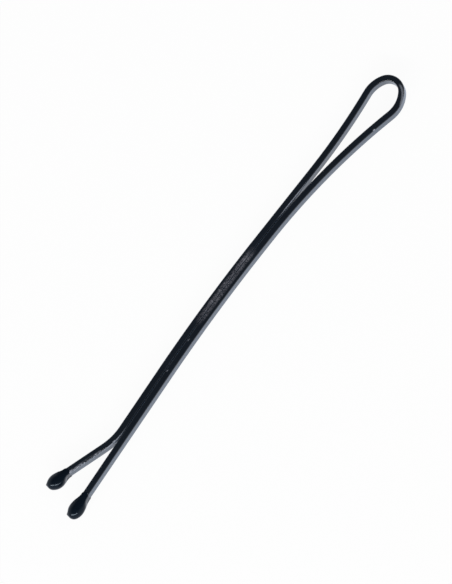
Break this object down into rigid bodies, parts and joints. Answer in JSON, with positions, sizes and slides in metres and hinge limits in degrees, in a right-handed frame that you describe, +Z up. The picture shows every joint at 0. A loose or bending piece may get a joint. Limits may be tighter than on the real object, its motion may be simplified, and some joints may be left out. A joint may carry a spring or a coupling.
{
  "type": "bobby pin",
  "caption": "Smooth black bobby pin: a sprung flat-wire strip folded into a bow, with two gripping prongs, one flared, and dipped ball tips.",
  "frame": {"origin": "middle of the pin's footprint, on the surface that it lies on", "axes": "+X along the pin from the tips to the bow, +Y from the fixed prong to the free prong, +Z up along the strip's width, so the pin lies on its edge"},
  "size_m": [0.0552, 0.005, 0.0016],
  "materials": {
    "lacquered_steel": "gloss black lacquer over spring steel",
    "dipped_coating": "gloss black dipped resin"
  },
  "bodies": {
    "fixed_side": {"fixed_prong": "lacquered_steel", "bow": "lacquered_steel", "fixed_prong_tip": "dipped_coating"},
    "free_side": {"free_prong": "lacquered_steel", "free_prong_tip": "dipped_coating"}
  },
  "joints": [
    {"name": "bow_spring", "type": "hinge", "parent": "fixed_side", "child": "free_side", "pos_m": [0.02589, -0.00019, 0.0008], "axis": [0, 0, -1], "range_deg": [0, 15], "stiffness_Nm_per_rad": 0.1, "springref_deg": -4.58, "deforming": ["bow"]}
  ]
}
